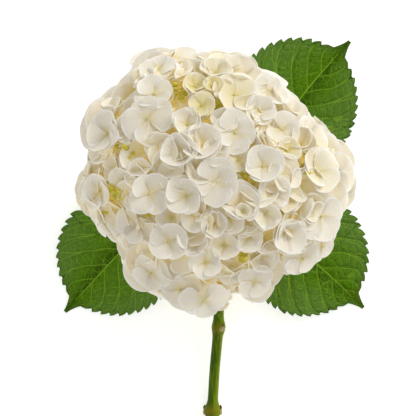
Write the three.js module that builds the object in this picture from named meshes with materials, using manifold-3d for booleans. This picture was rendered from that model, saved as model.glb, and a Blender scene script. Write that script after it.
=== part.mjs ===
// A cut mophead hydrangea lying on a surface: a round head of four-petalled florets, three toothed
// leaves spread beneath it, and a short green stem that climbs into the head's bare underside.
// Millimetres and degrees. +Z is up, +Y runs from the cut end of the stem to the crown of the head,
// and the origin is on the surface, under the middle of the head.
import * as THREE from "three";
import { mergeVertices } from "three/addons/utils/BufferGeometryUtils.js";
import Module from "manifold-3d";

const wasm = await Module();
wasm.setup();

// ---------------------------------------------------------------- driving dimensions

const CLEARANCE = 0.35; // gap between two pieces that touch

// The head is a squat ball. Its reach is measured from its centre to the faces of the petals.
const HEAD_CENTRE = new THREE.Vector3(0, 0, 75.5);
const HEAD_REACH = new THREE.Vector3(85, 82, 75.5);
const HEAD_TILT = 35; // how far the head's own axis rises above the surface, towards the crown
const OPENING = 45; // half angle of the bare underside, where the stem and the leaf stalks go in
const OPENING_EDGE = 24; // the middle slopes in to the opening over this angle
const CORE_SHARE = 0.72; // the dense middle of the head, as a share of its reach
const OPENING_SHARE = 0.42; // the middle's share inside the opening
const CORE_DETAIL = 3;
// The head isn't quite round: each swell or hollow has a bearing seen from above (0 is +X,
// counter-clockwise), a height as a share of the reach, and a half width in degrees.
const HEAD_SWELLS = [
  { bearing: 115, height: 0.1, width: 17 },
  { bearing: 150, height: 0.05, width: 13 },
  { bearing: 188, height: 0.07, width: 11 },
  { bearing: 335, height: 0.03, width: 16 },
  { bearing: 45, height: -0.08, width: 22 },
  { bearing: 214, height: -0.11, width: 15 },
  { bearing: 304, height: -0.11, width: 12 },
];

// A floret has four broad petals in one shallow cup on a thin stalk. The florets are a little larger
// than life and half as many, so that they still cover the head.
const FLORETS = 80;
const FLORET_RADIUS = 19.6;
const FLORET_SPREAD = 0.1; // random share of the radius
const FLORET_LEAN = 8; // random lean of a floret off the head's surface
const FLORET_LAYERS = 3; // neighbours sit in turn at this many depths
const LAYER_DEPTH = 2.8;
const CUP_FLATTEST = -1.8; // the petals bend back a little behind the floret's centre
const CUP_DEEPEST = 3.6; // or stand this far in front of it
const PETAL_THICKNESS = 0.8;
const PETALS = 4;
const PETAL_OUTLINE = [0.68, 0.97, 1, 0.97]; // reach at a notch, then across the petal beside it
const STALK_RADIUS = 1.8; // where a floret's stalk leaves its back
const STALK_ROOT = 0.55; // the stalk ends inside the middle, at this share of its reach
const REST_RADIUS = 21; // the floret pressed flat under the head, which the head rests on
const REST_TWIST = 0.35; // radians
const SEED = 20240611;
const CURVE_SAMPLES = 400;

// The stem's centreline, from the cut end into the head, through the joints that leaves grow from.
const STEM_RADIUS = 3.4;
const CUT_END = new THREE.Vector3(-0.5, -168, 3.7);
const LOWER_NODE = new THREE.Vector3(0.5, -149.5, 6.2);
const MID_STEM = new THREE.Vector3(2.1, -121, 9.4);
const UPPER_NODE = new THREE.Vector3(4.4, -94.3, 15);
const PAIR_NODE = new THREE.Vector3(4.2, -57, 31.5);
const TOP_NODE = new THREE.Vector3(2.2, -41, 42);
const STEM_TOP = new THREE.Vector3(0, -22, 58);
// The joints, and how far each stands out of the stem.
const JOINTS = [
  { node: LOWER_NODE, swell: 2.6, bare: true },
  { node: UPPER_NODE, swell: 1.3, bare: true },
  { node: PAIR_NODE, swell: 1.7, bare: false },
  { node: TOP_NODE, swell: 1.7, bare: false },
];
const NODE_LENGTH = 4.2; // half length of such a swelling
const STEM_SIDES = 10;
const STEM_STEPS = 40;
const CUT_SLANT = 32; // the slanting cut, off square
const CUT_TURN = 16; // and its turn to one side
// A dormant bud sits on each side of a joint that has lost its leaves, and points up the stem.
const BUD_RADIUS = 1.3;
const BUD_LENGTH = 2.2;
const BUD_SINK = 0.7; // its middle is this far inside the joint's surface
const BUD_RISE = 2.2; // and this far up the stem from the joint's middle
const BUD_LEAN = 12;

// Branches that spread from the stem's top into the head.
const BRANCHES = 6;
const BRANCH_RADIUS = 1.6;
const BRANCH_SIDES = 6;
const BRANCH_START = 44; // distance of their fork from the head's centre
const BRANCH_END = 31; // distance at which they end inside the middle of the head
const BRANCH_SPLAY = 37; // their ends' angle off the stem's line, seen from the head's centre

// A leaf blade is an oval with a drawn-out tip, measured along its midrib from its base.
const BLADE_LENGTH = 99;
const BLADE_HALF_WIDTH = 41;
const BLADE_WIDEST = 45; // distance from the base to the widest place
const BASE_ROUNDING = 1.3; // the oval narrows to a wedge towards its base
const TIP_ROUNDING = 0.575; // and ends blunt
const DRIP_TIP = 9.5; // length of the narrow tip beyond the oval
const DRIP_TIP_START = 4.6; // its half width where it leaves the oval
const DRIP_TIP_END = 0.9;
const BLADE_THICKNESS = 0.8;
const BLADE_RISE = 0.07; // each half climbs from the midrib by this share of its width
const MARGIN_WAVES = 3;
const WAVE_HEIGHT = 1.2;
const SIDE_VEINS = 6;
const QUILT_HEIGHT = 0.45; // the blade swells between its side veins
const TEETH = 18; // on each margin
const TOOTH_DEPTH = 2.2;
const TOOTH_LEAN = 1.4; // how far each tooth points towards the tip
const TOOTH_FADE = 18; // the teeth shrink where the blade is narrower than this on each side
const BLADE_COLUMNS = 6;
const PETIOLE_RADIUS = 1.7;
const RIB_START = 1.1; // radius of the raised midrib at the blade's base
const RIB_END = 0.6;
const RIB_SHARE = 0.82; // share of the blade that the raised midrib runs along
const PETIOLE_STEPS = 14;
const PETIOLE_SIDES = 6;

// Each leaf: the joint that its stalk leaves, the stalk's bend, the base of the blade, the middle of
// its midrib and its tip.
const LEAVES = [
  {
    name: "leaf_upper_right",
    node: TOP_NODE,
    bend: new THREE.Vector3(21, -10, 4),
    base: new THREE.Vector3(33, 12, 1.9),
    middle: new THREE.Vector3(58.3, 55.8, 3),
    tip: new THREE.Vector3(91, 93.5, 0.6),
  },
  {
    name: "leaf_lower_left",
    node: PAIR_NODE,
    bend: new THREE.Vector3(-13, -34, 16),
    base: new THREE.Vector3(-31, -16, 5),
    middle: new THREE.Vector3(-60.3, -45.4, 7),
    tip: new THREE.Vector3(-96.8, -84.8, 0.6),
  },
  {
    name: "leaf_lower_right",
    node: PAIR_NODE,
    bend: new THREE.Vector3(15, -37, 15),
    base: new THREE.Vector3(27, -24, 5.5),
    middle: new THREE.Vector3(70.5, -54.7, 7),
    tip: new THREE.Vector3(100, -82.1, 0.6),
  },
];

const PETAL_FINISH = { color: 0xede6d3, roughness: 0.6, metalness: 0 };
const LEAF_FINISH = { color: 0x4b7320, roughness: 0.45, metalness: 0 };
const STEM_FINISH = { color: 0x55701a, roughness: 0.5, metalness: 0 };

// ---------------------------------------------------------------- helpers

const { degToRad, radToDeg, lerp, smoothstep, euclideanModulo } = THREE.MathUtils;
const headAxis = new THREE.Vector3(0, Math.cos(degToRad(HEAD_TILT)), Math.sin(degToRad(HEAD_TILT)));

// A seeded random number generator (mulberry32), so that every run gives the same flower.
let seedState = SEED;
function random() {
  seedState = (seedState + 0x6d2b79f5) | 0;
  let t = Math.imul(seedState ^ (seedState >>> 15), 1 | seedState);
  t = (t + Math.imul(t ^ (t >>> 7), 61 | t)) ^ t;
  return ((t ^ (t >>> 14)) >>> 0) / 4294967296;
}

const spread = (amount) => (2 * random() - 1) * amount;

// A closed geometry as a manifold-3d solid, turned so that its faces point out.
function solidOf(geometry) {
  const bare = geometry.clone();
  bare.deleteAttribute("normal");
  bare.deleteAttribute("uv");
  const merged = mergeVertices(bare, 1e-4);
  const vertProperties = merged.attributes.position.array;
  const build = (triVerts) => new wasm.Manifold(new wasm.Mesh({ numProp: 3, vertProperties, triVerts }));
  const triVerts = new Uint32Array(merged.index.array);
  const made = build(triVerts);
  return made.volume() < 0 ? build(triVerts.reverse()) : made;
}

// The outside of the largest piece: sealed hollows are filled and loose scraps are dropped.
function outerBody(solid) {
  return solid.decompose().reduce((a, b) => (b.volume() > a.volume() ? b : a));
}

// A mesh whose own origin is at its anchor, such as the joint that a leaf grows from.
function meshOf(name, solid, finish, anchor) {
  const { vertProperties, triVerts } = solid.getMesh();
  const geometry = new THREE.BufferGeometry();
  geometry.setAttribute("position", new THREE.BufferAttribute(vertProperties, 3));
  geometry.setIndex(new THREE.BufferAttribute(triVerts, 1));
  geometry.translate(-anchor.x, -anchor.y, -anchor.z);
  geometry.computeVertexNormals();
  const mesh = new THREE.Mesh(geometry, new THREE.MeshStandardMaterial(finish));
  mesh.name = name;
  mesh.position.copy(anchor);
  return mesh;
}

// A round bar along a curve: a closed cylinder bent onto it, with its own radius at each place. It
// is grown all round and at both ends where it cuts a clearance.
function bentBar({ curve, radiusAt, steps, sides, grow = 0 }) {
  const { tangents, normals, binormals } = curve.computeFrenetFrames(steps, false);
  const bar = new THREE.CylinderGeometry(1, 1, 1, sides, steps);
  const places = bar.attributes.position;
  for (let i = 0; i < places.count; i++) {
    const step = Math.round((places.getY(i) + 0.5) * steps);
    const share = step / steps;
    const radius = radiusAt(share) + grow;
    const place = curve
      .getPointAt(share)
      .addScaledVector(normals[step], radius * places.getX(i))
      .addScaledVector(binormals[step], radius * places.getZ(i));
    if (step === 0) place.addScaledVector(tangents[step], -grow);
    if (step === steps) place.addScaledVector(tangents[step], grow);
    places.setXYZ(i, place.x, place.y, place.z);
  }
  return solidOf(bar);
}

// The share of a curve's length at which it passes a point.
function shareAt(curve, point) {
  const places = curve.getSpacedPoints(CURVE_SAMPLES);
  const distances = places.map((place) => place.distanceTo(point));
  return distances.indexOf(Math.min(...distances)) / CURVE_SAMPLES;
}

// A thin level sheet: a flat grid moved into place, the same grid again below it, and a rim between.
function thinSheet(columns, rows, thickness, placeOf) {
  const grid = new THREE.PlaneGeometry(2, 1, columns, rows);
  const corners = grid.attributes.position;
  const points = [];
  for (const lift of [thickness / 2, -thickness / 2])
    for (let i = 0; i < corners.count; i++) {
      const place = placeOf(corners.getX(i), 0.5 - corners.getY(i));
      points.push(place.setZ(place.z + lift));
    }
  const below = (i) => i + corners.count;
  const index = Array.from(grid.index.array);
  const edges = new Map();
  const triangles = [];
  for (let i = 0; i < index.length; i += 3) {
    const [a, b, c] = index.slice(i, i + 3);
    triangles.push(a, b, c, below(c), below(b), below(a));
    for (const [from, to] of [[a, b], [b, c], [c, a]]) edges.set(`${from} ${to}`, [from, to]);
  }
  for (const [from, to] of edges.values())
    if (!edges.has(`${to} ${from}`)) {
      triangles.push(to, from, below(from));
      triangles.push(to, below(from), below(to));
    }
  const sheet = new THREE.BufferGeometry().setFromPoints(points);
  sheet.setIndex(triangles);
  return solidOf(sheet);
}

// ---------------------------------------------------------------- the head

// How far the petals reach from the head's centre in a direction, with the head's swells.
function headReach(direction) {
  const { x, y, z } = direction;
  const oval = 1 / Math.hypot(x / HEAD_REACH.x, y / HEAD_REACH.y, z / HEAD_REACH.z);
  const bearing = radToDeg(Math.atan2(y, x));
  let swell = 0;
  for (const { bearing: middle, height, width } of HEAD_SWELLS) {
    const off = euclideanModulo(bearing - middle + 180, 360) - 180;
    swell += height * Math.exp(-((off / width) ** 2));
  }
  return oval * (1 + swell * (x * x + y * y));
}

// How deep a direction lies in the opening: 1 on the stem's line and 0 outside the opening.
function openness(direction) {
  const off = radToDeg(direction.angleTo(headAxis.clone().negate()));
  return smoothstep(OPENING + OPENING_EDGE / 3 - off, 0, OPENING_EDGE);
}

// A point inside the head: in a direction from its centre, at a share of its reach.
function insideHead(direction, share) {
  return direction.clone().multiplyScalar(headReach(direction) * share).add(HEAD_CENTRE);
}

// The dense middle of the head, drawn in around the top of the stem.
function headMiddle() {
  const ball = new THREE.IcosahedronGeometry(1, CORE_DETAIL);
  const places = ball.attributes.position;
  const direction = new THREE.Vector3();
  for (let i = 0; i < places.count; i++) {
    direction.fromBufferAttribute(places, i).normalize();
    const place = insideHead(direction, lerp(CORE_SHARE, OPENING_SHARE, openness(direction)));
    places.setXYZ(i, place.x, place.y, place.z);
  }
  return solidOf(ball);
}

// One floret: a thin four-lobed cup, and a stalk that narrows to its root. Petals that would reach
// below the surface lie flat on it.
function floret({ centre, normal, twist, radius, cup, root }) {
  const frame = new THREE.Matrix4().lookAt(normal, new THREE.Vector3(), headAxis);
  const points = [];
  const add = (reach, turn, out, lowest) => {
    const along = reach * Math.cos(twist + turn);
    const across = reach * Math.sin(twist + turn);
    const point = new THREE.Vector3(along, across, out).applyMatrix4(frame).add(centre);
    points.push(point.setZ(Math.max(point.z, lowest)));
  };
  const rim = PETALS * PETAL_OUTLINE.length;
  add(0, 0, 0, 0);
  for (const lift of [0, PETAL_THICKNESS])
    for (let k = 0; k < rim; k++) {
      const share = PETAL_OUTLINE[k % PETAL_OUTLINE.length];
      add(radius * share, (2 * Math.PI * k) / rim, cup * share ** 2 - lift, lift);
    }
  for (let j = 0; j < PETALS; j++)
    add(STALK_RADIUS, (2 * Math.PI * (j + 0.5)) / PETALS, -2 * PETAL_THICKNESS, PETAL_THICKNESS);
  points.push(root);

  const face = (k) => 1 + (k % rim);
  const back = (k) => face(k) + rim;
  const waist = (j) => 1 + 2 * rim + (j % PETALS);
  const rootPoint = points.length - 1;
  const triangles = [];
  for (let k = 0; k < rim; k++) {
    triangles.push(0, face(k), face(k + 1));
    triangles.push(face(k), back(k), back(k + 1));
    triangles.push(face(k), back(k + 1), face(k + 1));
    triangles.push(back(k), waist(Math.floor(k / PETAL_OUTLINE.length)), back(k + 1));
  }
  for (let j = 0; j < PETALS; j++) {
    triangles.push(back((j + 1) * PETAL_OUTLINE.length), waist(j), waist(j + 1));
    triangles.push(waist(j), rootPoint, waist(j + 1));
  }
  const flower = new THREE.BufferGeometry().setFromPoints(points);
  flower.setIndex(triangles);
  return solidOf(flower);
}

// Florets on a golden-angle spiral from the crown to the rim of the opening.
function florets() {
  const goldenAngle = Math.PI * (3 - Math.sqrt(5));
  const lastAlong = Math.cos(degToRad(180 - OPENING));
  const side = new THREE.Vector3(1, 0, 0);
  const front = new THREE.Vector3().crossVectors(headAxis, side);
  const lean = degToRad(FLORET_LEAN);
  const made = [];
  for (let i = 0; i < FLORETS; i++) {
    const along = lerp(1, lastAlong, (i + 0.5) / FLORETS);
    const across = Math.sqrt(1 - along * along);
    const direction = headAxis
      .clone()
      .multiplyScalar(along)
      .addScaledVector(side, across * Math.cos(i * goldenAngle))
      .addScaledVector(front, across * Math.sin(i * goldenAngle));
    const normal = direction.clone();
    normal.add(new THREE.Vector3(spread(lean), spread(lean), spread(lean))).normalize();
    const cup = lerp(CUP_FLATTEST, CUP_DEEPEST, random());
    const depth = Math.max(cup, 0) + (i % FLORET_LAYERS) * LAYER_DEPTH;
    const centre = insideHead(direction, 1).addScaledVector(direction, -depth);
    const radius = FLORET_RADIUS * (1 + spread(FLORET_SPREAD));
    const twist = random() * Math.PI;
    const root = insideHead(direction, STALK_ROOT);
    made.push(floret({ centre, normal, twist, radius, cup, root }));
  }
  return made;
}

// The floret under the head, pressed flat by its weight.
function restFloret() {
  const down = new THREE.Vector3(0, 0, -1);
  const root = insideHead(down, STALK_ROOT);
  const centre = new THREE.Vector3(0, 0, 0);
  return floret({ centre, normal: down, twist: REST_TWIST, radius: REST_RADIUS, cup: 0, root });
}

// ---------------------------------------------------------------- the stem

const stemLine = new THREE.CatmullRomCurve3(
  [CUT_END, LOWER_NODE, MID_STEM, UPPER_NODE, PAIR_NODE, TOP_NODE, STEM_TOP],
  false,
  "centripetal",
);

// Everything outside the slanting cut at the stem's end: a block larger than the stem is wide.
function beyondCut() {
  const size = 12 * STEM_RADIUS;
  const block = new THREE.BoxGeometry(size, size, size).translate(0, -size / 2, 0);
  block.rotateX(degToRad(CUT_SLANT)).rotateZ(degToRad(CUT_TURN));
  return solidOf(block.translate(CUT_END.x, CUT_END.y + STEM_RADIUS, CUT_END.z));
}

function buds() {
  const made = [];
  for (const { node, swell } of JOINTS.filter((joint) => joint.bare))
    for (const side of [-1, 1]) {
      const bud = new THREE.IcosahedronGeometry(1, 1);
      bud.scale(BUD_RADIUS, BUD_LENGTH, BUD_RADIUS);
      bud.rotateZ(-side * degToRad(BUD_LEAN));
      const out = STEM_RADIUS + swell - BUD_SINK;
      bud.translate(node.x + side * out, node.y + BUD_RISE, node.z);
      made.push(solidOf(bud));
    }
  return made;
}

// The forked top of the stem: each branch is a straight bar from the fork into the head.
function branches(grow) {
  const fork = headAxis.clone().multiplyScalar(-BRANCH_START).add(HEAD_CENTRE);
  const made = [];
  for (let i = 0; i < BRANCHES; i++) {
    const end = headAxis.clone().negate();
    end.applyAxisAngle(new THREE.Vector3(1, 0, 0), degToRad(BRANCH_SPLAY));
    end.applyAxisAngle(headAxis, (2 * Math.PI * (i + 0.5)) / BRANCHES);
    end.multiplyScalar(BRANCH_END).add(HEAD_CENTRE);
    const curve = new THREE.LineCurve3(fork, end);
    made.push(bentBar({ curve, radiusAt: () => BRANCH_RADIUS, steps: 1, sides: BRANCH_SIDES, grow }));
  }
  return made;
}

// The stem with its joints, grown by a clearance where another piece is cut to fit round it.
function stemSolid(grow = 0) {
  const radiusAt = (share) => {
    const here = stemLine.getPointAt(share);
    let radius = STEM_RADIUS;
    for (const { node, swell } of JOINTS)
      radius += swell * Math.exp(-((here.distanceTo(node) / NODE_LENGTH) ** 2));
    return radius;
  };
  const shaft = bentBar({ curve: stemLine, radiusAt, steps: STEM_STEPS, sides: STEM_SIDES, grow });
  return wasm.Manifold.union([shaft, ...buds(), ...branches(grow)]).subtract(beyondCut());
}

// ---------------------------------------------------------------- the leaves

// Half width of a blade at a distance from its base: an oval, then a narrow drawn-out tip.
function bladeHalfWidth(distance) {
  const towardsBase = distance < BLADE_WIDEST;
  const reach = towardsBase ? BLADE_WIDEST : BLADE_LENGTH - DRIP_TIP - BLADE_WIDEST;
  const off = Math.min(1, Math.abs(distance - BLADE_WIDEST) / reach);
  const tip = lerp(DRIP_TIP_END, DRIP_TIP_START, Math.min(1, (BLADE_LENGTH - distance) / DRIP_TIP));
  return Math.max(BLADE_HALF_WIDTH * (1 - off * off) ** (towardsBase ? BASE_ROUNDING : TIP_ROUNDING), tip);
}

// Places at even steps along a blade's margin, so that the teeth are as close round its blunt end as
// along its sides: the distance from the base, the half width there, and the margin's direction.
function marginPlaces(rows) {
  const outline = Array.from({ length: CURVE_SAMPLES + 1 }, (_, i) => {
    const distance = (BLADE_LENGTH * i) / CURVE_SAMPLES;
    return new THREE.Vector3(distance, bladeHalfWidth(distance), 0);
  });
  const margin = new THREE.CurvePath();
  for (let i = 1; i < outline.length; i++) margin.add(new THREE.LineCurve3(outline[i - 1], outline[i]));
  const places = Array.from({ length: rows + 1 }, (_, i) => margin.getPointAt(i / rows));
  return places.map((place, i) => {
    const direction = places[Math.min(i + 1, rows)].clone().sub(places[Math.max(i - 1, 0)]).normalize();
    return { distance: place.x, half: place.y, direction };
  });
}

function leafSolid(leaf, grow = 0) {
  const spine = new THREE.CatmullRomCurve3([leaf.node, leaf.bend, leaf.base, leaf.middle, leaf.tip]);
  const baseShare = shareAt(spine, leaf.base);
  const rows = 2 * TEETH;
  const margin = marginPlaces(rows);
  const placeOf = (across, row) => {
    const step = Math.round(row * rows);
    const { distance, half, direction } = margin[step];
    const isTooth = step % 2 === 1;
    const size = Math.abs(across) === 1 ? Math.min(1, half / TOOTH_FADE) : 0;
    const notch = isTooth ? 0 : TOOTH_DEPTH * size;
    const lean = isTooth ? TOOTH_LEAN * size : 0;
    const along = distance + notch * direction.y + lean * direction.x;
    const width = half * Math.abs(across) - notch * direction.x + lean * direction.y;
    const share = lerp(baseShare, 1, Math.min(1, Math.max(0, along / BLADE_LENGTH)));
    const place = spine.getPointAt(share);
    const ahead = spine.getTangentAt(share).setZ(0).normalize();
    const aside = new THREE.Vector3(ahead.y, -ahead.x, 0);
    const side = Math.sign(across);
    place.addScaledVector(aside, side * (width + grow * Math.abs(across)));
    const waving = 2 * Math.PI * MARGIN_WAVES * (distance / BLADE_LENGTH);
    const wave = Math.sin(waving + side) * WAVE_HEIGHT * across * across;
    const inner = Math.abs(across) * (1 - Math.abs(across)) * 4;
    const quilt = QUILT_HEIGHT * Math.cos(2 * Math.PI * SIDE_VEINS * (distance / BLADE_LENGTH)) * inner;
    const fade = Math.min(1, half / BLADE_HALF_WIDTH);
    return place.setZ(place.z + BLADE_RISE * width + (wave + quilt) * fade);
  };
  const blade = thinSheet(BLADE_COLUMNS, rows, BLADE_THICKNESS + 2 * grow, placeOf);
  const ribEnd = lerp(baseShare, 1, RIB_SHARE);
  const rib = new THREE.CatmullRomCurve3(
    Array.from({ length: PETIOLE_STEPS + 1 }, (_, i) => spine.getPointAt((ribEnd * i) / PETIOLE_STEPS)),
  );
  const radiusAt = (share) => {
    const along = (share * ribEnd) / baseShare;
    if (along < 1) return lerp(PETIOLE_RADIUS, RIB_START, smoothstep(along, 0.6, 1));
    return lerp(RIB_START, RIB_END, (along - 1) / (ribEnd / baseShare - 1));
  };
  const stalk = bentBar({ curve: rib, radiusAt, steps: PETIOLE_STEPS, sides: PETIOLE_SIDES, grow });
  return blade.add(stalk);
}

// ---------------------------------------------------------------- the flower

const flower = new THREE.Group();
const head = outerBody(
  wasm.Manifold.union([headMiddle(), restFloret(), ...florets()])
    .subtract(stemSolid(CLEARANCE))
    .subtract(wasm.Manifold.union(LEAVES.map((leaf) => leafSolid(leaf, CLEARANCE)))),
);
flower.add(meshOf("flower_head", head, PETAL_FINISH, HEAD_CENTRE));

const shoot = new THREE.Group();
shoot.add(meshOf("stem", outerBody(stemSolid()), STEM_FINISH, CUT_END));
for (const leaf of LEAVES) {
  const solid = outerBody(leafSolid(leaf).subtract(stemSolid(CLEARANCE)));
  shoot.add(meshOf(leaf.name, solid, LEAF_FINISH, leaf.node));
}
flower.add(shoot);

export default flower;
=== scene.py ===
"""A cut mophead hydrangea lying on a pale surface, seen from above.

Lengths are in metres, and the places match the part's own frame: +Z up, +Y from the cut end of the
stem towards the crown of the head, and the origin under the middle of the head.
"""
import math
import random

import bmesh
import bpy
from mathutils import Matrix, Vector


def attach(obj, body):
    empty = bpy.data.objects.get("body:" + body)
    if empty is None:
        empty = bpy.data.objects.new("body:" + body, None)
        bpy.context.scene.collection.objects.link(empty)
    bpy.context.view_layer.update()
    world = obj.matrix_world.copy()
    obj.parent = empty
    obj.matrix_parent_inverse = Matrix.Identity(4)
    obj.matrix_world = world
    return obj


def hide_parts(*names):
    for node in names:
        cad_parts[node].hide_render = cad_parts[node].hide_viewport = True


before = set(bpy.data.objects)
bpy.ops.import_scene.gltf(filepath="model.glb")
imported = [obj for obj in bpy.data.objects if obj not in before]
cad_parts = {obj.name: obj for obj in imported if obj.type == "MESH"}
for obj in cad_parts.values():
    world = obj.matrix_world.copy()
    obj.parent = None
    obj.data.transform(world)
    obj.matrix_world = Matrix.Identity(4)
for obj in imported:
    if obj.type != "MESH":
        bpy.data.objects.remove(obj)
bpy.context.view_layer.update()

MM = 0.001
UP = Vector((0, 0, 1))
draw = random.Random(71)

# ---------------------------------------------------------------- the flower's main sizes

HEAD_CENTRE = Vector((0, 0, 75.5)) * MM
HEAD_REACH = Vector((85, 82, 75.5)) * MM
HEAD_TILT = math.radians(35)
HEAD_AXIS = Vector((0, math.cos(HEAD_TILT), math.sin(HEAD_TILT)))
OPENING = math.radians(45)  # half angle of the opening in the florets where the stem enters
NAPE_OPENING = math.radians(30)  # and what the florets over the stem leave of it
# Swells and hollows of the head: bearing in degrees, height as a share of the reach, half width.
HEAD_SWELLS = [
    (5, 0.05, 14),
    (39, -0.12, 20),
    (66, -0.02, 10),
    (118, 0.12, 14),
    (151, 0.08, 9),
    (171, -0.08, 8),
    (187, 0.07, 9),
    (213, -0.18, 15),
    (246, -0.05, 9),
    (266, 0.06, 8),
    (281, -0.14, 7),
    (306, -0.16, 9),
    (335, 0.01, 15),
]

STEM_RADIUS = 3.4 * MM
# The stem's line from its cut end to the fork inside the head, in mm.
STEM_POINTS = [
    Vector(point) * MM
    for point in [
        (-0.5, -168, 3.7),
        (0.5, -149.5, 6.2),
        (2.1, -121, 9.4),
        (4.4, -94.3, 15),
        (4.2, -57, 31.5),
        (2.2, -41, 42),
        (0, -22, 58),
    ]
]
CUT_END, LOWER_NODE, _, UPPER_NODE, PAIR_NODE, TOP_NODE, _ = STEM_POINTS
# The joints, and how far each stands out of the stem.
JOINTS = [(LOWER_NODE, 2.6 * MM), (UPPER_NODE, 1.3 * MM), (PAIR_NODE, 1.7 * MM), (TOP_NODE, 1.7 * MM)]
NODE_LENGTH = 4.2 * MM  # how far a joint's swelling reaches along the stem

BLADE_LENGTH = 99 * MM
BLADE_HALF_WIDTH = 41 * MM
BLADE_WIDEST = 45 * MM
BASE_ROUNDING = 1.3  # how soon the oval narrows towards the base
TIP_ROUNDING = 0.575  # and towards the tip
BLADE_SHOULDER = 9.5 * MM  # the oval ends this far from the tip
DRIP_TIP = 12 * MM  # length of the drawn-out tip
DRIP_TIP_START = 6.2 * MM  # its half width where it starts
DRIP_TIP_END = 1.2 * MM  # and at its end
BLADE_RISE = 0.07  # slope of each half of a blade, up from the midrib
BROADER_LEFT = {"leaf_upper_right": 0.06}  # share by which a blade's left half is broader
# Each leaf's joint on the stem, and the places in mm that its spine passes. The second of them is
# the base of the blade, and the last is its tip.
LEAVES = {
    "leaf_upper_right": (TOP_NODE, (21, -10, 4), (33, 12, 1.9), (58.3, 55.8, 3), (91, 93.5, 0.6)),
    "leaf_lower_left": (
        PAIR_NODE,
        (-13, -34, 16),
        (-31, -16, 5),
        (-60.3, -45.4, 7),
        (-96.8, -84.8, 0.6),
    ),
    "leaf_lower_right": (PAIR_NODE, (15, -37, 15), (27, -24, 5.5), (70.5, -54.7, 7), (100, -82.1, 0.6)),
}

# ---------------------------------------------------------------- the photograph's frame

PHOTO_SIZE = 416
PHOTO_PIXEL = 0.63 * MM  # width of one pixel at the middle of the head
PHOTO_HEAD = (212, 182)  # the middle of the head, in pixels
CAMERA_DISTANCE = 1.6

CAMERA_PLACE = Vector(
    (
        (PHOTO_SIZE / 2 - PHOTO_HEAD[0]) * PHOTO_PIXEL,
        (PHOTO_HEAD[1] - PHOTO_SIZE / 2) * PHOTO_PIXEL,
        HEAD_CENTRE.z + CAMERA_DISTANCE,
    )
)


def seen_at(pixel_x, pixel_y, height):
    """The point at a height that the camera sees at a pixel of the photograph."""
    grow = (CAMERA_PLACE.z - height) / CAMERA_DISTANCE
    aside = (pixel_x - PHOTO_SIZE / 2) * PHOTO_PIXEL * grow
    ahead = (PHOTO_SIZE / 2 - pixel_y) * PHOTO_PIXEL * grow
    return Vector((CAMERA_PLACE.x + aside, CAMERA_PLACE.y + ahead, height))


def make_camera():
    """A camera straight over the picture's middle, which looks down."""
    camera = bpy.data.objects.new("camera", bpy.data.cameras.new("camera"))
    bpy.context.scene.collection.objects.link(camera)
    camera.location = CAMERA_PLACE
    camera.data.lens = camera.data.sensor_width * CAMERA_DISTANCE / (PHOTO_SIZE * PHOTO_PIXEL)
    camera.data.clip_end = 10
    bpy.context.scene.camera = camera


# ---------------------------------------------------------------- finishes


class Value:
    """A number on a surface, from a socket. Sums with it add Math nodes to its finish."""

    def __init__(self, finish, socket):
        self.finish = finish
        self.socket = socket

    def sum(self, operation, *terms):
        return self.finish.node("ShaderNodeMath", {"operation": operation}, dict(enumerate(terms)))["Value"]

    def __add__(self, other):
        return self.sum("ADD", self, other)

    __radd__ = __add__

    def __sub__(self, other):
        return self.sum("SUBTRACT", self, other)

    def __rsub__(self, other):
        return self.sum("SUBTRACT", other, self)

    def __mul__(self, other):
        return self.sum("MULTIPLY", self, other)

    __rmul__ = __mul__

    def __truediv__(self, other):
        return self.sum("DIVIDE", self, other)

    def __pow__(self, other):
        return self.sum("POWER", self, other)

    def __abs__(self):
        return self.sum("ABSOLUTE", self)

    def fraction(self):
        return self.sum("FRACT", self)

    def larger(self, other):
        return self.sum("MAXIMUM", self, other)

    def smaller(self, other):
        return self.sum("MINIMUM", self, other)

    def fade(self, start, end):
        """0 at start and 1 at end, with a soft change between."""
        settings = {"interpolation_type": "SMOOTHSTEP"}
        inputs = {"Value": self, "From Min": start, "From Max": end}
        return self.finish.node("ShaderNodeMapRange", settings, inputs)["Result"]


class Made:
    """A node that was made. Its outputs are read by name."""

    def __init__(self, finish, node):
        self.finish = finish
        self.node = node

    def __getitem__(self, name):
        socket = next(s for s in self.node.outputs if s.name == name and s.enabled)
        return Value(self.finish, socket)


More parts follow.
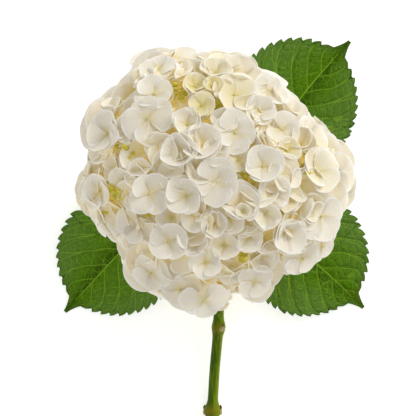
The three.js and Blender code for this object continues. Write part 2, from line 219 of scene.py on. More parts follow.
class Finish:
    """A material. Its nodes are made one at a time, and its Principled shader takes the results."""

    def __init__(self, name, **constants):
        self.material = bpy.data.materials.new(name)
        self.material.use_nodes = True
        self.tree = self.material.node_tree
        self.shader = self.tree.nodes["Principled BSDF"]
        self.set(self.shader, {key.replace("_", " "): value for key, value in constants.items()})

    def set(self, node, inputs):
        """Links or sets a node's inputs, which are given by name, or by number on a Math node."""
        for name, value in inputs.items():
            if isinstance(name, int):
                socket = node.inputs[name]
            else:
                socket = next(s for s in node.inputs if s.name == name and s.enabled)
            if isinstance(value, Value):
                self.tree.links.new(value.socket, socket)
            else:
                socket.default_value = value

    def node(self, kind, settings=None, inputs=None):
        """Makes a node of a kind, with its settings first and then its inputs."""
        made = self.tree.nodes.new(kind)
        for name, value in (settings or {}).items():
            setattr(made, name, value)
        self.set(made, inputs or {})
        return Made(self, made)

    def mix(self, share, first, second):
        """A colour between two colours."""
        settings = {"data_type": "RGBA"}
        inputs = {"Factor": share, "A": paint(first), "B": paint(second)}
        return self.node("ShaderNodeMix", settings, inputs)["Result"]

    def attribute(self, name):
        return self.node("ShaderNodeAttribute", {"attribute_name": name})["Fac"]

    def uv(self):
        """The piece's own U and V."""
        coordinates = self.node("ShaderNodeTexCoord")["UV"]
        parts = self.node("ShaderNodeSeparateXYZ", None, {"Vector": coordinates})
        return parts["X"], parts["Y"]

    def place(self, stretch=(1, 1, 1)):
        """Object coordinates, stretched."""
        coordinates = self.node("ShaderNodeTexCoord")["Object"]
        return self.node("ShaderNodeMapping", None, {"Vector": coordinates, "Scale": stretch})["Vector"]

    def noise(self, scale, detail, vector=None):
        inputs = {"Vector": vector or self.place(), "Scale": scale, "Detail": detail}
        return self.node("ShaderNodeTexNoise", None, inputs)["Fac"]

    def cells(self, scale):
        """Distance to the nearest border of irregular cells."""
        inputs = {"Vector": self.place(), "Scale": scale}
        return self.node("ShaderNodeTexVoronoi", {"feature": "DISTANCE_TO_EDGE"}, inputs)["Distance"]

    def bump(self, height, distance, strength):
        inputs = {"Height": height, "Distance": distance, "Strength": strength}
        self.set(self.shader, {"Normal": self.node("ShaderNodeBump", None, inputs)["Normal"]})

    def coat(self, colour, roughness):
        """Gives the shader its colour and roughness, and hands over the material."""
        self.set(self.shader, {"Base Color": paint(colour), "Roughness": roughness})
        return self.material


def paint(colour):
    """A colour socket as it is, or an sRGB colour out of 255 as a linear one."""
    if isinstance(colour, Value):
        return colour
    linear = [(c / 255 / 12.92) if c < 10.3 else ((c / 255 + 0.055) / 1.055) ** 2.4 for c in colour]
    return (*linear, 1)


PETAL_VEINS = 9


def petal_finish(name):
    """A petal's skin: creamy, golden where young, with fine veins along it, painted warm shade deep in the
    head, and a painted emission of light that is golden deep in the head and pale as a painted highlight
    along the rim.
    """
    finish = Finish(
        name,
        Subsurface_Weight=0.3,
        Subsurface_Scale=2 * MM,
        Subsurface_Radius=(1.0, 1.0, 1.0),
        Specular_IOR_Level=0.25,
        Sheen_Weight=0.1,
        # Strength of the painted glow.
        Emission_Strength=0.3,
    )
    along, across = finish.uv()
    deep = finish.attribute("deep")
    young = finish.attribute("young")
    mottle = finish.noise(90, 3)
    off_middle = abs(across - 0.5) * 2
    to_rim = off_middle.larger(along * 2 - 1)
    # Gold where the floret is young, and painted warm shade deep in the head.
    young_gold_and_painted_shade = (deep * 0.9).larger(young)
    colour = finish.mix(along.fade(0.0, 0.4), CREAM_BASE, CREAM)
    colour = finish.mix(young_gold_and_painted_shade, colour, finish.mix(along.fade(0.0, 0.7), GOLD_BASE_AND_PAINTED_SHADE, GOLD_AND_PAINTED_SHADE))
    # Painted highlight along the rim.
    rim = (to_rim + mottle * 0.1 - 0.05).fade(0.76, 1.0)
    colour = finish.mix(rim * (1 - young_gold_and_painted_shade * 0.35), colour, PAINTED_RIM_HIGHLIGHT)
    fan = (across - 0.5) / (along + 0.35)
    lines = finish.node(
        "ShaderNodeTexNoise",
        {"noise_dimensions": "1D"},
        {"W": fan * PETAL_VEINS, "Scale": 1.0, "Detail": 2.0},
    )["Fac"]
    vein = (abs(lines - 0.5) * 14).smaller(1)
    colour = finish.mix((1 - vein) * 0.2 * (1 - off_middle * 0.5), colour, GOLD_AND_PAINTED_SHADE)
    finish.bump(vein * 0.6 + mottle * 0.6, 0.25 * MM, 0.6)
    # Painted glow: golden deep in the head for light passed between petals, and pale along the rim as a
    # painted highlight.
    edge = (to_rim + mottle * 0.06 - 0.03).fade(0.86, 0.97)
    painted_glow = finish.mix(edge * 0.35, finish.mix(deep, PAINTED_GLOW, PAINTED_DEEP_GLOW), PAINTED_RIM_GLOW)
    finish.set(finish.shader, {"Emission Color": painted_glow})
    return finish.coat(colour, mottle * 0.15 + 0.5)


def green_finish(name, light, dark, scale, painted_glow=0.0):
    """Smooth young green, in two close tones, with a painted emission of light in the lighter tone."""
    finish = Finish(name, Subsurface_Weight=0.15, Subsurface_Scale=2 * MM, Specular_IOR_Level=0.35)
    # Painted glow in the lighter tone.
    finish.set(finish.shader, {"Emission Color": paint(light), "Emission Strength": painted_glow})
    tone = finish.noise(scale, 3)
    finish.bump(tone, 0.2 * MM, 0.4)
    return finish.coat(finish.mix(tone.fade(0.3, 0.7), dark, light), tone * 0.2 + 0.4)


SIDE_VEINS = 9
VEIN_SLANT = 0.32  # how far a side vein runs on towards the tip by the time it reaches the margin
VEIN_BEND = 0.03  # and how much more of that comes near the margin
RUNGS = 5.5  # cross veins between two side veins, from the midrib to the margin
RUNG_SLANT = 1.75  # cross veins stand square to the side veins
VEIN_STAGGER = 0.03  # the side veins on the right start this share of the blade nearer its base
COARSE_NET = (150, 0.05)  # cells to the metre, and the width of the veins between them in cells
FINE_NET = (520, 0.14)


def leaf_finish(name, margin, middle, vein_colour, gloss):
    """A blade's skin: midrib, side veins that bend towards the tip, rungs between, and a fine net, with
    painted shade beside the midrib and a margin that is greyer partly as painted sheen.
    """
    finish = Finish(name, Subsurface_Weight=0.08, Subsurface_Scale=1 * MM, Specular_IOR_Level=0.06)
    across, along = finish.uv()
    side = abs(across - 0.5) * 2
    right = across.fade(0.49, 0.51)
    warp = finish.noise(60, 3)
    reach = side * VEIN_SLANT + side**2 * VEIN_BEND
    run = (along - reach + right * VEIN_STAGGER) * SIDE_VEINS + 10 + (warp - 0.5) * 0.5
    within = run.fraction()
    to_vein = abs(within - 0.5) * 2
    vein = to_vein.fade(0.92, 1.0) * side.fade(1.0, 0.7)
    spread = side.fade(0.4, 1.1) * 0.5
    for fork in (run + spread, run - spread):
        to_fork = abs(fork.fraction() - 0.5) * 2
        vein = vein.larger(to_fork.fade(0.9, 1.0) * side.fade(1.0, 0.8) * 0.6)
    midrib = side.fade(0.016, 0.004)
    interval = {"W": (run - within) * 1.7 + right * 31}
    offset = finish.node("ShaderNodeTexWhiteNoise", {"noise_dimensions": "1D"}, interval)["Value"]
    kinks = finish.noise(160, 1) - 0.5
    rung_run = (side + along * RUNG_SLANT) * RUNGS + offset + kinks * 1.1
    to_rung = abs(rung_run.fraction() - 0.5) * 2
    rung = to_rung.fade(0.86, 0.98) * finish.noise(110, 1).fade(0.3, 0.55)
    mesh, net = [1 - finish.cells(scale).fade(0.0, width) for scale, width in (COARSE_NET, FINE_NET)]
    # Greyer, lighter green towards the margin: partly the leaf's own tone, partly painted sheen.
    tone = (finish.noise(25, 3) * 0.5 + warp * 0.3 + 0.35 - side * 0.55).fade(0.2, 0.75)
    colour = finish.mix(tone, margin, middle)
    # Painted shade along the right of the midrib.
    painted_midrib_shade = right * side.fade(0.3, 0.02) * 0.75
    colour = finish.mix(painted_midrib_shade, colour, PAINTED_MIDRIB_SHADE)
    colour = finish.mix((rung * 0.46).larger(mesh * 0.42).larger(net * 0.22), colour, vein_colour)
    colour = finish.mix((vein * 0.75).larger(midrib * 0.8), colour, vein_colour)
    pillow = to_vein.fade(1.0, 0.35).smaller(to_rung.fade(1.0, 0.3) * 0.4 + 0.6)
    finish.bump(pillow * side.fade(0.0, 0.1) - mesh * 0.25 - net * 0.12, 1.6 * MM, 0.85)
    return finish.coat(colour, warp * 0.15 + gloss)


def stem_finish(name):
    """Green bark: long streaks, painted light on the side towards +X, pale pores, and brown at the joints.
    """
    finish = Finish(name, Subsurface_Weight=0.05, Subsurface_Scale=1 * MM, Specular_IOR_Level=0.12)
    streaks = finish.noise(110, 3, finish.place((7, 0.35, 7)))
    grain = {"Vector": finish.place((1, 0.35, 1)), "Scale": 420.0}
    pores = finish.node("ShaderNodeTexVoronoi", None, grain)["Distance"]
    pore = pores.fade(0.2, 0.1)
    joint = finish.attribute("joint")
    painted_lit_side = finish.attribute("painted_lit_side")
    patches = finish.noise(320, 3)
    # Streaks, with the side towards +X painted lighter as painted light.
    colour = finish.mix((painted_lit_side * 0.35 + streaks * 0.9).fade(0.35, 0.9), BARK_DARK, BARK_LIGHT)
    colour = finish.mix(pore * 0.3, colour, BARK_PORE)
    colour = finish.mix(joint * (patches * 1.2 - 0.2), colour, BARK_JOINT)
    finish.bump(streaks + pore * 0.5 + joint * patches, 0.4 * MM, 0.6)
    return finish.coat(colour, streaks * 0.2 + 0.42)


def plain_finish(name, first, second, scale, rough):
    """Two tones of one colour in fine grain."""
    finish = Finish(name)
    grain = finish.noise(scale, 4)
    finish.bump(grain, 0.2 * MM, 0.5)
    return finish.coat(finish.mix(grain.fade(0.3, 0.7), first, second), grain * 0.2 + rough)


# Painted glow: emission that stands for the light petals pass through to each other, golden deep between
# them, and a painted highlight at their rims.
PAINTED_GLOW = (84, 78, 62)
PAINTED_DEEP_GLOW = (162, 144, 74)
PAINTED_RIM_GLOW = (196, 190, 172)
# Petals are cream, and golden where they are young; deep in the head the gold is painted warm shade. Both
# are yellower at the base.
CREAM = (252, 245, 229)
CREAM_BASE = (250, 235, 192)
GOLD_AND_PAINTED_SHADE = (253, 235, 168)
GOLD_BASE_AND_PAINTED_SHADE = (246, 228, 118)
# A painted highlight along the petals' rims.
PAINTED_RIM_HIGHLIGHT = (255, 254, 250)
PETAL = petal_finish("petal")
# The last number is the strength of a painted glow on eyes, young buds and stalks.
EYE = green_finish("floret_eye", (228, 222, 168), (196, 196, 104), 900, 0.05)
YOUNG_BUD = green_finish("young_bud", (218, 204, 84), (178, 168, 34), 500, 0.1)
STALK = green_finish("flower_stalk", (214, 208, 128), (172, 178, 72), 300, 0.2)
# Painted shade beside the midrib.
PAINTED_MIDRIB_SHADE = (40, 78, 0)
LEAF_TOP = leaf_finish("leaf_top", (91, 129, 54), (77, 123, 0), (146, 187, 52), 0.45)
# A lighter copy of the leaf top: painted light for the leaf that lies in the head's shadow.
LEAF_TOP_PAINTED_LIGHT = leaf_finish("leaf_top_painted_light", (102, 145, 61), (90, 141, 0), (162, 206, 63), 0.45)
LEAF_BACK = leaf_finish("leaf_back", (92, 122, 58), (120, 148, 78), (160, 180, 108), 0.55)
LEAF_STALK = green_finish("leaf_stalk", (150, 172, 84), (110, 138, 50), 200)
BARK_DARK = (58, 92, 0)
BARK_LIGHT = (126, 150, 8)
BARK_PORE = (150, 156, 60)
BARK_JOINT = (150, 128, 20)
BARK = stem_finish("stem_bark")
PITH = plain_finish("cut_pith", (214, 214, 160), (176, 184, 112), 900, 0.6)
BUD = plain_finish("bud_scales", (52, 36, 14), (104, 78, 30), 700, 0.45)
SCAR = plain_finish("leaf_scar", (212, 204, 160), (146, 132, 54), 700, 0.6)

# ---------------------------------------------------------------- shapes that several pieces share


def lerp(first, second, share):
    """What lies at a share of the way from the first to the second."""
    return first + (second - first) * share


def soft_step(value, start, end):
    """0 at start and 1 at end, with a soft change between."""
    share = min(1.0, max(0.0, (value - start) / (end - start)))
    return share * share * (3 - 2 * share)


def spiral(count, widest):
    """Directions spread evenly over the head, from its crown to an angle off its axis."""
    golden = math.pi * (3 - math.sqrt(5))
    side = Vector((1, 0, 0))
    front = HEAD_AXIS.cross(side)
    for i in range(count):
        along = lerp(1, math.cos(widest), (i + 0.5) / count)
        across = math.sqrt(1 - along * along)
        turn = i * golden
        yield HEAD_AXIS * along + side * across * math.cos(turn) + front * across * math.sin(turn)


def head_reach(direction):
    """How far the petals reach from the head's centre in a direction."""
    oval = 1 / Vector([direction[i] / HEAD_REACH[i] for i in range(3)]).length
    bearing = math.degrees(math.atan2(direction.y, direction.x))
    swell = 0
    for middle, height, width in HEAD_SWELLS:
        off = (bearing - middle + 180) % 360 - 180
        swell += height * math.exp(-((off / width) ** 2))
    return oval * (1 + swell * (direction.x**2 + direction.y**2))


def in_head(direction, share):
    """The place in a direction from the head's centre, at a share of the head's reach."""
    return HEAD_CENTRE + direction * head_reach(direction) * share


def smooth_path(points, count, steps=60):
    """Places along a smooth curve through points, a curve whose bends don't overshoot."""
    ends = [points[0] * 2 - points[1], *points, points[-1] * 2 - points[-2]]
    fine = []
    for k in range(len(points) - 1):
        p = ends[k : k + 4]
        knots = [0.0]
        for first, second in zip(p, p[1:]):
            knots.append(knots[-1] + math.sqrt((second - first).length))
        for step in range(steps):
            t = lerp(knots[1], knots[2], step / steps)
            row = list(zip(knots, p))
            while len(row) > 1:
                gap = len(knots) - len(row) + 1
                row = [
                    (
                        knots[i],
                        row[i][1] * ((knots[i + gap] - t) / (knots[i + gap] - knots[i]))
                        + row[i + 1][1] * ((t - knots[i]) / (knots[i + gap] - knots[i])),
                    )
                    for i in range(len(row) - 1)
                ]
            fine.append(row[0][1])
    fine.append(points[-1].copy())
    return evenly(fine, count)


def evenly(fine, count):
    """Places at even steps along a fine chain of points."""
    lengths = [0.0]
    for first, second in zip(fine, fine[1:]):
        lengths.append(lengths[-1] + (second - first).length)
    even = []
    at = 0
    for i in range(count + 1):
        wanted = lengths[-1] * i / count
        while at < len(fine) - 2 and lengths[at + 1] < wanted:
            at += 1
        share = (wanted - lengths[at]) / (lengths[at + 1] - lengths[at])
        even.append(fine[at].lerp(fine[at + 1], share))
    return even


def tube(body, path, radius_at, sides):
    """A closed round bar along a path: circles joined by bands. radius_at takes share and angle."""
    rings = []
    last = len(path) - 1
    for i, place in enumerate(path):
        ahead = path[min(i + 1, last)] - path[max(i - 1, 0)]
        turn = ahead.to_track_quat("Z", "Y").to_matrix().to_4x4()
        ring = bmesh.ops.create_circle(body, segments=sides, radius=1, cap_ends=i in (0, last))["verts"]
        for v in ring:
            v.co *= radius_at(i / last, math.atan2(v.co.y, v.co.x))
        bmesh.ops.transform(body, matrix=Matrix.Translation(place) @ turn, verts=ring)
        rings.append(ring)
    for first, second in zip(rings, rings[1:]):
        edges = {e for v in (*first, *second) for e in v.link_edges}
        loops = [e for e in edges if set(e.verts) <= set(first) or set(e.verts) <= set(second)]
        bmesh.ops.bridge_loops(body, edges=loops)
    return [v for ring in rings for v in ring]


SPARE = bpy.data.meshes.new("spare")


def add_part(body, part):
    """Adds a small finished shape to a body. Made alone, its operators don't walk the whole body."""
    part.to_mesh(SPARE)
    part.free()
    body.from_mesh(SPARE)


def piece(name, body, materials, replaces=()):
    """Turns a finished bmesh into a piece of the flower."""
    mesh = bpy.data.meshes.new(name)
    body.to_mesh(mesh)
    body.free()
    made = bpy.data.objects.new(name, mesh)
    bpy.context.scene.collection.objects.link(made)
    for material in materials:
        mesh.materials.append(material)
    mesh.shade_smooth()
    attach(made, "root")
    if replaces:
        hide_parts(*replaces)
    return made


def thicken(made, thickness, second_material=False):
    """Gives a thin piece its thickness. Its under side can have the piece's second material."""
    solid = made.modifiers.new("thickness", "SOLIDIFY")
    solid.thickness = thickness
    solid.offset = 0
    solid.use_even_offset = False
    solid.material_offset = 1 if second_material else 0


# ---------------------------------------------------------------- leaves

MARGIN_WAVES = 3
WAVE_HEIGHT = 1.2 * MM
QUILT_HEIGHT = 0.9 * MM
GROOVE_DEPTH = 1.1 * MM  # the blade dips to its midrib
GROOVE_WIDTH = 4 * MM
GROOVE_FADE = 8 * MM  # the groove grows shallow where the blade's half width is less than this
QUILT_ROUNDING = 0.7  # below 1 the blade is fuller between its side veins
TEETH = 21
TOOTH_DEPTH = 2.6 * MM
TOOTH_LEAN = 1.4 * MM  # how far a tooth leans towards the leaf's tip
TOOTH_FADE = (6.5 * MM, 11 * MM)  # the teeth shrink between these half widths
TOOTH_RISE = 0.76  # share of a tooth that its long rounded side takes
TOOTH_ROUNDING = 0.65  # below 1 that side is fuller
TOOTH_HOLD = 2.6 * MM  # how far in from the margin the blade moves with its teeth
BLADE_COLUMNS = 28
BLADE_ROWS = TEETH * 8
ROWS_SEARCHED = 40  # each way, for the place on the margin that is nearest to a point
BLADE_THICKNESS = 0.5 * MM

STALK_START = 2.16 * MM / BLADE_LENGTH  # share of the leaf's spine that lies inside the stem
STALK_RADIUS = 1.7 * MM
STALK_FLARE = 1.2 * MM  # how much thicker the stalk is at the stem
MIDRIB_RADIUS = 1.25 * MM  # at the base of the blade
MIDRIB_TIP_RADIUS = 0.35 * MM
MIDRIB_END = 0.83  # share of the blade that the raised midrib takes
STALK_STEPS = 60
STALK_SIDES = 10

HEIGHT_MARKS = 50  # places along a leaf from which its height is taken
OVER_LEAF = 2.2 * MM  # petals stay this far over a leaf's spine
BESIDE_LEAF = 3 * MM  # and a leaf counts this far beyond its margin


def blade_half_width(distance):
    """Half width of a blade at a distance from its base: an oval, then a drawn-out tip."""
    towards_base = distance < BLADE_WIDEST
    reach = BLADE_WIDEST if towards_base else BLADE_LENGTH - BLADE_SHOULDER - BLADE_WIDEST
    off = min(1.0, abs(distance - BLADE_WIDEST) / reach)
    rounding = BASE_ROUNDING if towards_base else TIP_ROUNDING
    tip = lerp(DRIP_TIP_END, DRIP_TIP_START, min(1.0, (BLADE_LENGTH - distance) / DRIP_TIP) ** 1.5)
    return max(BLADE_HALF_WIDTH * (1 - off * off) ** rounding, tip)


def margin_places(rows):
    """Even steps along a blade's margin: distance from the base, half width, and the margin's turn."""
    fine_steps = 600
    distances = [BLADE_LENGTH * i / fine_steps for i in range(fine_steps + 1)]
    outline = [Vector((distance, blade_half_width(distance))) for distance in distances]
    places = evenly(outline, rows)
    return [
        (place.x, place.y, (places[min(i + 1, rows)] - places[max(i - 1, 0)]).normalized())
        for i, place in enumerate(places)
    ]


MARGIN = margin_places(BLADE_ROWS)


def toothed(side, row):
    """A place on a flat blade with its teeth: distances from the base and from the midrib."""
    along = MARGIN[row][0]
    width = MARGIN[row][1] * side
    near = range(max(0, row - ROWS_SEARCHED), min(BLADE_ROWS, row + ROWS_SEARCHED) + 1)
    step = min(near, key=lambda i: math.hypot(MARGIN[i][0] - along, MARGIN[i][1] - width))
    distance, half, direction = MARGIN[step]
    off = math.hypot(distance - along, half - width)
    phase = (step / BLADE_ROWS * TEETH) % 1
    if phase < TOOTH_RISE:
        tooth = math.sin(math.pi / 2 * phase / TOOTH_RISE) ** TOOTH_ROUNDING
    else:
        tooth = (1 - phase) / (1 - TOOTH_RISE)
    size = soft_step(half, *TOOTH_FADE) * math.exp(-((off / TOOTH_HOLD) ** 2))
    notch = TOOTH_DEPTH * (1 - tooth) * size
    lean = TOOTH_LEAN * tooth * size
    along += notch * direction.y + lean * direction.x
    width += lean * direction.y - notch * direction.x
    return along, width


FLAT_BLADE = [
    [toothed(column * 2 / BLADE_COLUMNS, row) for column in range(BLADE_COLUMNS // 2 + 1)]
    for row in range(BLADE_ROWS + 1)
]


class Leaf:
    """A leaf's spine, from its joint on the stem to its tip."""

    STEPS = 400

    def __init__(self, points, broader_left):
        self.broader_left = broader_left
        node, *rest = points
        points = [node, *(Vector(p) * MM for p in rest)]
        self.spine = smooth_path(points, self.STEPS)
        base = min(self.spine, key=lambda place: (place - points[2]).length)
        self.base_share = self.spine.index(base) / self.STEPS
        marked = range(0, self.STEPS + 1, self.STEPS // HEIGHT_MARKS)
        self.marks = [(*self.spine[i], i / self.STEPS) for i in marked]

    def at(self, share):
        """The place at a share of the spine, and the way it runs there."""
        step = min(self.STEPS - 1e-6, share * self.STEPS)
        first = int(step)
        place = self.spine[first].lerp(self.spine[first + 1], step - first)
        ahead = self.spine[first + 1] - self.spine[first]
        return place, ahead.normalized()

    def blade(self, across, step):
        """A point of the blade: across runs from -1 to 1, and step counts from 0 at the base."""
        distance, half, _ = MARGIN[step]
        row = step / BLADE_ROWS
        side = abs(across)
        along, width = FLAT_BLADE[step][round(side * BLADE_COLUMNS / 2)]
        place, ahead = self.at(lerp(self.base_share, 1, min(1, max(0, along / BLADE_LENGTH))))
        ahead.z = 0
        ahead.normalize()
        aside = Vector((ahead.y, -ahead.x, 0))
        if across < 0:
            width *= 1 + self.broader_left
        place = place + aside * math.copysign(width, across)
        share = distance / BLADE_LENGTH
        turn = 2 * math.pi * MARGIN_WAVES * share + math.copysign(1, across)
        wave = math.sin(turn) * WAVE_HEIGHT * side * side
        run = (row - VEIN_SLANT * side - VEIN_BEND * side * side) * SIDE_VEINS
        if across > 0:
            run += VEIN_STAGGER * SIDE_VEINS
        vein = abs(math.sin(math.pi * run))
        pillow = QUILT_HEIGHT * (vein**QUILT_ROUNDING - 0.5)
        pillow *= soft_step(side, 0, 0.25) * soft_step(side, 1.05, 0.7)
        fade = min(1.0, half / BLADE_HALF_WIDTH)
        groove = GROOVE_DEPTH * math.exp(-width / GROOVE_WIDTH) * min(1.0, half / GROOVE_FADE)
        place.z += BLADE_RISE * width + (wave + pillow) * fade - groove
        return place

    def height_over(self, x, y):
        """Height of the leaf's upper side under a point, or nothing where the leaf isn't."""
        mark_x, mark_y, height, share = min(self.marks, key=lambda m: (m[0] - x) ** 2 + (m[1] - y) ** 2)
        off = math.hypot(mark_x - x, mark_y - y)
        along = (share - self.base_share) / (1 - self.base_share)
        half = blade_half_width(max(0.0, along) * BLADE_LENGTH) if along > 0 else 0
        if off > half + BESIDE_LEAF:
            return None
        return height + BLADE_RISE * off + OVER_LEAF


leaves = {name: Leaf(points, BROADER_LEFT.get(name, 0)) for name, points in LEAVES.items()}


def make_blade(name, leaf):
    """A toothed, quilted blade, shaped from a flat grid."""
    blade = bmesh.new()
    blade.loops.layers.uv.new("blade")
    bmesh.ops.create_grid(blade, x_segments=BLADE_COLUMNS, y_segments=BLADE_ROWS, size=1, calc_uvs=True)
    for v in blade.verts:
        v.co = leaf.blade(v.co.x, round((v.co.y + 1) / 2 * BLADE_ROWS))
    bmesh.ops.recalc_face_normals(blade, faces=blade.faces)
    if sum(f.normal.z for f in blade.faces) < 0:
        bmesh.ops.reverse_faces(blade, faces=blade.faces)
    # The lower left leaf lies in the head's shadow, so it takes the lighter copy as painted light.
    top = LEAF_TOP_PAINTED_LIGHT if name == "leaf_lower_left" else LEAF_TOP
    made = piece(name + "_blade", blade, [top, LEAF_BACK], replaces=[name])
    thicken(made, BLADE_THICKNESS, second_material=True)


def make_leaf_stalk(name, leaf):
    """A leaf's stalk, which runs on as the raised midrib under the blade."""
    base = leaf.base_share
    last = lerp(base, 1, MIDRIB_END)

    def radius_at(share, angle):
        along = lerp(STALK_START, last, share)
        if along < base:
            flare = STALK_FLARE * math.exp(-share * 22)
            return lerp(STALK_RADIUS, MIDRIB_RADIUS, soft_step(along / base, 0.5, 1)) + flare
        return lerp(MIDRIB_RADIUS, MIDRIB_TIP_RADIUS, (along - base) / (last - base))

    shares = [i / STALK_STEPS for i in range(STALK_STEPS + 1)]
    path = [leaf.at(lerp(STALK_START, last, share))[0] for share in shares]
    for share, place in zip(shares, path):
        radius = radius_at(share, 0)
        under = soft_step(lerp(STALK_START, last, share), base - 0.02, base + 0.06)
        place.z = max(place.z - (GROOVE_DEPTH + radius * 0.9) * under, radius + 0.05 * MM)
    rib = bmesh.new()
    tube(rib, path, radius_at, STALK_SIDES)
    bmesh.ops.recalc_face_normals(rib, faces=rib.faces)
    piece(name + "_stalk", rib, [LEAF_STALK])


for leaf_name, leaf in leaves.items():
    make_blade(leaf_name, leaf)
    make_leaf_stalk(leaf_name, leaf)

# ---------------------------------------------------------------- stem

BUD_TURNS = (8, 55)  # degrees that each joint's pair of scars is turned about the stem
BUD_SIZE = Vector((1.3, 1.8, 1.0)) * MM
BUD_AHEAD = 2.1 * MM  # how far a bud's middle lies ahead of its joint
BUD_SUNK = 0.7 * MM  # and how deep in the stem
SCAR_SIZE = Vector((2.4, 1.9, 0.9)) * MM
SCAR_BEHIND = 0.9 * MM
SCAR_SUNK = 0.45 * MM
STEM_STEPS = 170
STEM_SIDES = 28
STEM_WAIST = 0.97  # share of the stem's radius that it has between its ridges
RIDGE_HEIGHT = 0.2 * MM  # three broad ridges
FINE_RIDGE_HEIGHT = 0.06 * MM  # eight fine ones
CUT_SLANT = math.radians(32)
CUT_TURN = math.radians(16)
BARK_THICKNESS = 0.5 * MM
PITH_RING = 1.1 * MM


def joint_swell(place):
    """How far the stem swells at a place on it, and how near that is to a joint, from 0 to 1."""
    near = [(math.exp(-(((place - node).length / NODE_LENGTH) ** 2)), swell) for node, swell in JOINTS]
    return sum(share * swell for share, swell in near), min(1.0, sum(share for share, _ in near))


def make_stem():
    """The stem with its swollen joints and shallow ridges, and its slanting cut."""
    stem = bmesh.new()
    joint = stem.verts.layers.float.new("joint")
    painted_lit_side = stem.verts.layers.float.new("painted_lit_side")
    path = smooth_path(STEM_POINTS, STEM_STEPS)
    swells = [joint_swell(place) for place in path]

    def radius_at(share, angle):
        swell, near = swells[round(share * STEM_STEPS)]
        ridges = RIDGE_HEIGHT * math.cos(3 * angle + 0.6) + FINE_RIDGE_HEIGHT * math.cos(8 * angle)
        return STEM_RADIUS * STEM_WAIST + swell + ridges * (1 - near)

    for i, v in enumerate(tube(stem, path, radius_at, STEM_SIDES)):
        step = i // STEM_SIDES
        v[joint] = swells[step][1]
        # Painted light: how far a point lies towards the +X side of the stem, which is painted lighter.
        v[painted_lit_side] = soft_step((v.co.x - path[step].x) / STEM_RADIUS, -0.6, 0.9)
    bmesh.ops.recalc_face_normals(stem, faces=stem.faces)
    slant = Matrix.Rotation(CUT_TURN, 3, "Z") @ Matrix.Rotation(CUT_SLANT, 3, "X")
    cut = bmesh.ops.bisect_plane(
        stem,
        geom=stem.verts[:] + stem.edges[:] + stem.faces[:],
        plane_co=CUT_END + Vector((0, STEM_RADIUS, 0)),
        plane_no=slant @ Vector((0, -1, 0)),
        clear_outer=True,
    )
    rim = [e for e in cut["geom_cut"] if isinstance(e, bmesh.types.BMEdge)]
    face = bmesh.ops.contextual_create(stem, geom=rim)["faces"]
    bmesh.ops.inset_region(stem, faces=face, thickness=BARK_THICKNESS, depth=-0.05 * MM)
    for f in face:
        f.material_index = 1
        inner = bmesh.ops.inset_region(stem, faces=[f], thickness=PITH_RING)["faces"]
        for ring in inner:
            ring.material_index = 1
    piece("stem_shaft", stem, [BARK, PITH], replaces=["stem"])


def make_buds_and_scars():
    """At each bare joint: on both sides a shield-shaped scar, and a small bud pressed on above it."""
    buds = bmesh.new()
    scars = bmesh.new()
    for (node, swell), turn in zip(JOINTS, BUD_TURNS):
        for side in (-1, 1):
            around = Matrix.Translation(node) @ Matrix.Rotation(math.radians(side * 90 - turn), 4, "Y")
            out = STEM_RADIUS + swell
            bud = bmesh.ops.create_icosphere(buds, subdivisions=3, radius=1)["verts"]
            for v in bud:
                point = max(0.0, v.co.y)
                thin = 1 - 0.6 * point**1.5
                v.co = Vector((v.co.x * thin, v.co.y, v.co.z * thin)) * BUD_SIZE
            matrix = around @ Matrix.Translation((0, BUD_AHEAD, out - BUD_SUNK))
            bmesh.ops.transform(buds, matrix=matrix, verts=bud)
            shield = bmesh.ops.create_icosphere(scars, subdivisions=3, radius=1)["verts"]
            for v in shield:
                dent = 0.5 * math.exp(-((v.co.x / 0.45) ** 2) - ((v.co.y / 0.45) ** 2))
                narrow = 1 - 0.3 * max(0.0, v.co.y)
                v.co = Vector((v.co.x * narrow, v.co.y, v.co.z * (1 - dent))) * SCAR_SIZE
            matrix = around @ Matrix.Translation((0, -SCAR_BEHIND, out - SCAR_SUNK))
            bmesh.ops.transform(scars, matrix=matrix, verts=shield)
    piece("stem_buds", buds, [BUD])
    piece("stem_scars", scars, [SCAR])


make_stem()
make_buds_and_scars()

# ---------------------------------------------------------------- florets

PETAL_THICKNESS = 0.3 * MM
PETAL_LENGTH = (0.9, 1.1)  # the least and the most, as shares of the floret's radius
PETAL_HALF_WIDTH = (0.56, 0.68)  # these and the next ones as shares of the petal's length
PETAL_SPOON = (-0.03, 0.07)  # how far its sides curve up
PETAL_CURL = (-0.15, 0.08)  # how far it curves up along its length
PETAL_LIP = (-0.1, 0.2)  # how far its end turns back down
PETAL_CREASES = (0, 0, 0.05, 0.1)  # depths of the fold along its middle
PETAL_RUFFLE = (0.015, 0.055)  # height of the waves in its rim
PETAL_WAVES = (3, 4, 5)  # and how many there are
PETAL_NOTCH = (-0.1, 0.1)  # below 0 the petal has a blunt point instead
PETAL_BASE = 0.4 * MM  # how far from the floret's middle its petals start

PRESS_TOP = 24 * MM  # above this height nothing lies under the petals
PRESS_HEIGHT = 7 * MM  # petals less than this over what lies below are squeezed up, to stay over it
SURFACE_GAP = 0.35 * MM  # how far petals stay over the surface
OUTLINE_START = 0.95  # the share of the head's reach from which petals are drawn in
OUTLINE_GIVE = (0.58, 0.85)  # how much of that they keep, at the head's outline and on its top
DEEP_SHARE = 0.81  # the share of the head's reach up to which petals lie deep


def ground_under(point):
    """Height of what lies under a point: the surface, or a leaf on it."""
    heights = [leaf.height_over(point.x, point.y) for leaf in leaves.values()]
    return max([SURFACE_GAP, *(h for h in heights if h is not None)])


def pressed(point):
    """The point, squeezed up where it would reach into what lies under the head."""
    if point.z > PRESS_TOP:
        return point
    ground = ground_under(point)
    top = ground + PRESS_HEIGHT
    if point.z < top:
        point.z = top - PRESS_HEIGHT * (1 - math.exp((point.z - top) / PRESS_HEIGHT))
    return point


